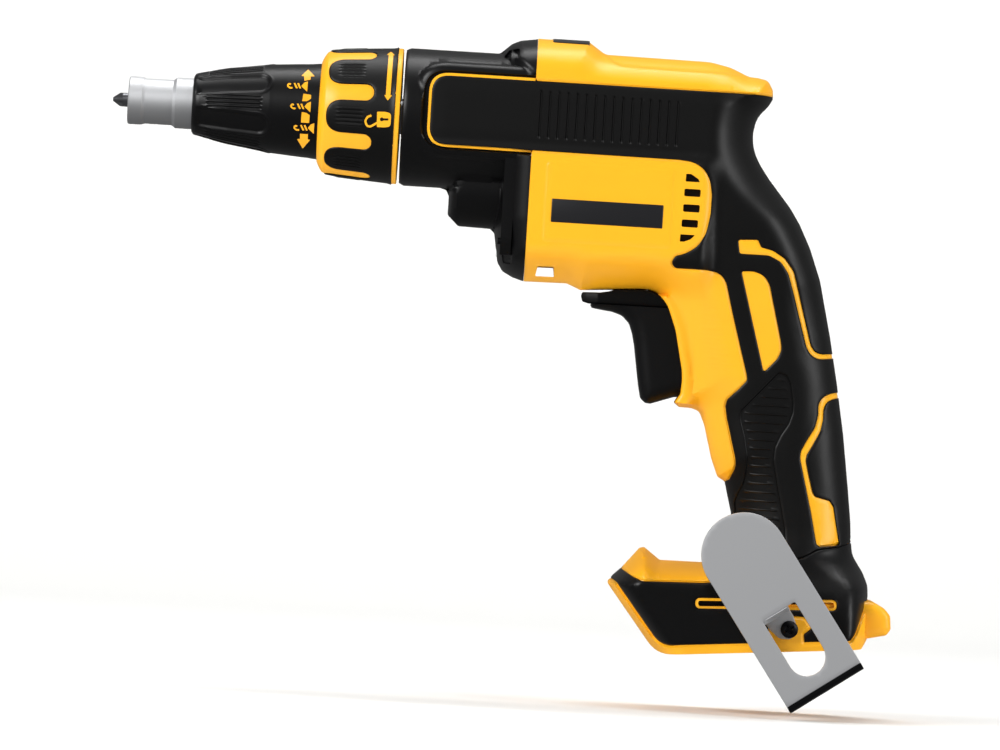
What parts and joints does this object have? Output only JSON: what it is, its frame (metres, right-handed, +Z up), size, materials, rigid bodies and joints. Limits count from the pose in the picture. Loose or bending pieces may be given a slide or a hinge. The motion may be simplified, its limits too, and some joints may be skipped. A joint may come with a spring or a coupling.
{
  "type": "drywall screwdriver",
  "caption": "Cordless drywall screwdriver with adjustable depth nose, lock collar, push clutch, brushless motor, two-finger trigger, reversing lever, belt hook and open battery foot.",
  "frame": {"origin": "on the spindle axis, where the straight front band of the depth locator begins", "axes": "X along the spindle with the nose at -X, +Z up, the side with the belt hook faces -Y"},
  "size_m": [0.2983, 0.0778, 0.2414],
  "materials": {
    "yellow_nylon": "moulded, satin",
    "black_rubber": "moulded, matt",
    "black_nylon": "moulded, fine spark texture",
    "bright_steel": "bright zinc plated",
    "satin_zinc": "satin, bead blasted",
    "tool_steel": "hardened, grey phosphate",
    "machined_steel": "turned",
    "gear_steel": "hobbed and oiled",
    "spring_steel": "drawn wire",
    "black_oxide_steel": "black oxide",
    "bearing_bronze": "sintered",
    "brass_insert": "knurled",
    "lamination_steel": "stacked sheet",
    "magnet_nickel": "nickel plated",
    "copper_enamel": "enamelled wire",
    "board_green": "solder mask",
    "lens_clear": "clear moulded",
    "potting_black": "cast",
    "plate_black": "printed film"
  },
  "bodies": {
    "housing": {"collar_clip": "spring_steel", "clutch_spring": "spring_steel", "spindle_front_bush": "bearing_bronze", "spindle_rear_bush": "bearing_bronze", "gear_case": "black_nylon", "light_lens": "lens_clear", "gear_plate": "black_nylon", "gear_case_screws": "black_oxide_steel", "stator_core": "lamination_steel", "stator_coils": "copper_enamel", "sensor_board": "board_green", "pinion_bush": "bearing_bronze", "motor_front_bearing": "machined_steel", "motor_rear_bearing": "machined_steel", "foot_bumper": "yellow_nylon", "housing_left": "yellow_nylon", "housing_right": "yellow_nylon", "grip_left": "black_rubber", "grip_right": "black_rubber", "foot_cover_left": "black_rubber", "foot_cover_right": "black_rubber", "housing_screws": "black_oxide_steel", "side_plates": "plate_black", "trigger_switch": "potting_black", "trigger_spring": "spring_steel", "lever_pin": "machined_steel", "control_module": "potting_black", "terminal_block": "black_nylon", "terminal_blades": "brass_insert", "belt_hook": "bright_steel", "hook_screw": "black_oxide_steel", "hook_inserts": "brass_insert"},
    "trigger": {"trigger": "black_nylon", "trigger_plunger": "black_nylon"},
    "lever": {"reverse_lever": "black_nylon"},
    "cone": {"depth_cone": "black_nylon"},
    "locator": {"depth_locator": "satin_zinc"},
    "collar": {"lock_collar": "yellow_nylon", "collar_grip": "black_rubber"},
    "carrier": {"thrust_washer": "machined_steel"},
    "spindle": {"spindle": "machined_steel", "bit_holder": "machined_steel", "holder_magnet": "magnet_nickel", "screw_bit": "tool_steel"},
    "gear": {"drive_gear": "gear_steel"},
    "rotor": {"rotor_shaft": "machined_steel", "rotor_core": "lamination_steel", "motor_pinion": "gear_steel", "cooling_fan": "black_nylon"}
  },
  "joints": [
    {"name": "trigger_pull", "type": "slide", "parent": "housing", "child": "trigger", "axis": [1, 0, 0], "range_m": [0, 0.006], "stiffness_N_per_m": 700, "springref_m": -0.004, "deforming": ["trigger_spring"]},
    {"name": "lever_turn", "type": "hinge", "parent": "housing", "child": "lever", "pos_m": [0.225, 0, -0.063], "axis": [0, 0, 1], "range_deg": [-6, 6]},
    {"name": "depth_turn", "type": "hinge", "parent": "housing", "child": "cone", "pos_m": [0.06, 0, 0], "axis": [1, 0, 0], "range_deg": [-300, 300]},
    {"name": "locator_travel", "type": "slide", "parent": "housing", "child": "locator", "axis": [-1, 0, 0], "range_m": [-0.0025, 0.0025]},
    {"name": "collar_turn", "type": "hinge", "parent": "housing", "child": "collar", "pos_m": [0.09, 0, 0], "axis": [1, 0, 0], "range_deg": [0, 30]},
    {"name": "spindle_push", "type": "slide", "parent": "housing", "child": "carrier", "axis": [1, 0, 0], "range_m": [0, 0.003], "stiffness_N_per_m": 2500, "springref_m": -0.003, "deforming": ["clutch_spring"]},
    {"name": "spindle_spin", "type": "hinge", "parent": "carrier", "child": "spindle", "pos_m": [0.1, 0, 0], "axis": [1, 0, 0], "continuous": true},
    {"name": "motor_spin", "type": "hinge", "parent": "housing", "child": "rotor", "pos_m": [0.17, 0, -0.02625], "axis": [1, 0, 0], "continuous": true},
    {"name": "gear_spin", "type": "hinge", "parent": "housing", "child": "gear", "pos_m": [0.13, 0, 0], "axis": [1, 0, 0], "continuous": true}
  ],
  "couplings": [
    {"joint": "locator_travel", "follows": "depth_turn", "m_per_rad": 0.00047746},
    {"joint": "gear_spin", "follows": "motor_spin", "ratio": -0.23529}
  ]
}
